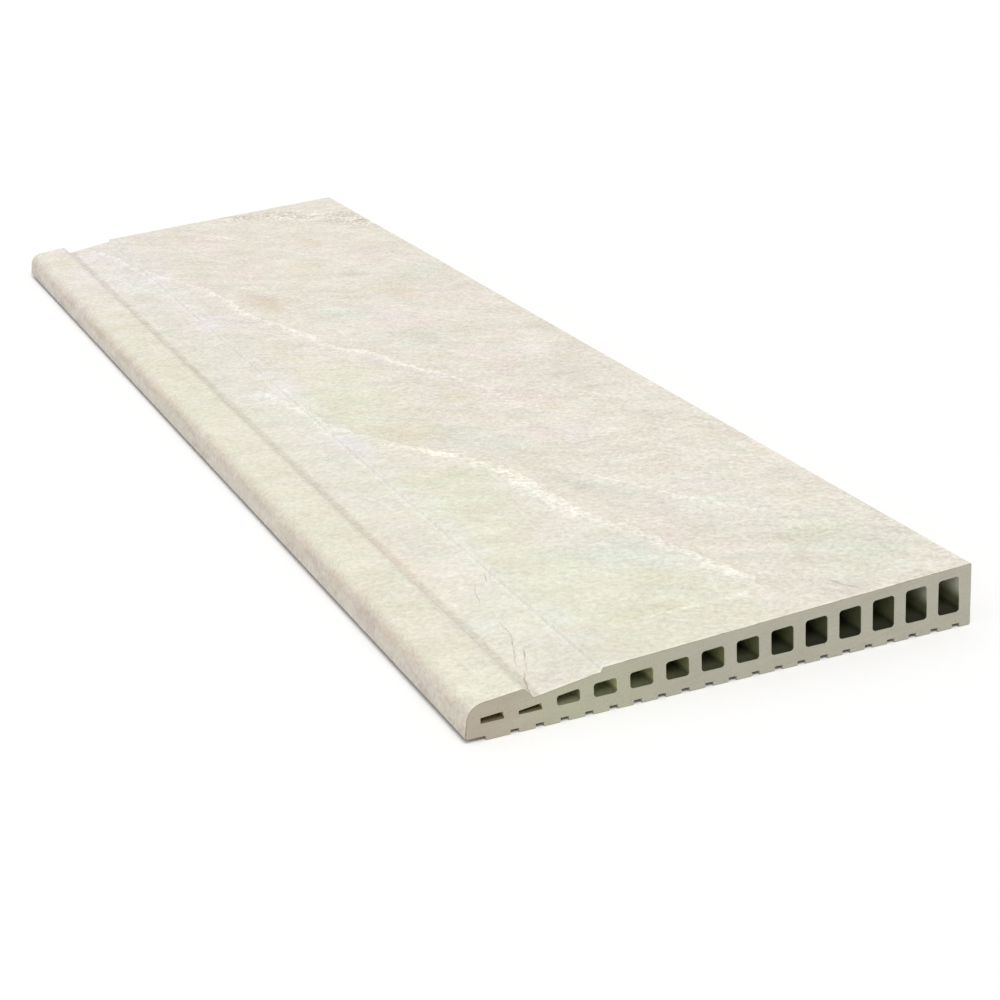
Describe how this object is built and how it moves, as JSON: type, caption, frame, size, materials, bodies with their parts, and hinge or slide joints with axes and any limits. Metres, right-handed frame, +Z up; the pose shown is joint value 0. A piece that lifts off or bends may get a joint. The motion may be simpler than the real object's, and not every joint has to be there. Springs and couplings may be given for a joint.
{
  "type": "overflow pool edge tile",
  "caption": "Extruded ceramic edge piece for an infinity pool: rounded nose, overflow channel and a sloping stone-look face over hollow cores and a ribbed back.",
  "frame": {"origin": "centre of the footprint, at the level the rib bottoms rest on", "axes": "+Y along the extrusion, +X across the tile from the rounded nose to the thick back edge, +Z up out of the walking face"},
  "size_m": [0.33, 1.2, 0.04],
  "materials": {
    "stoneware": "matt printed stone look on the upper side, bare fired body on the ends, cores and back"
  },
  "bodies": {
    "root": {"edge_tile": "stoneware"}
  },
  "joints": []
}
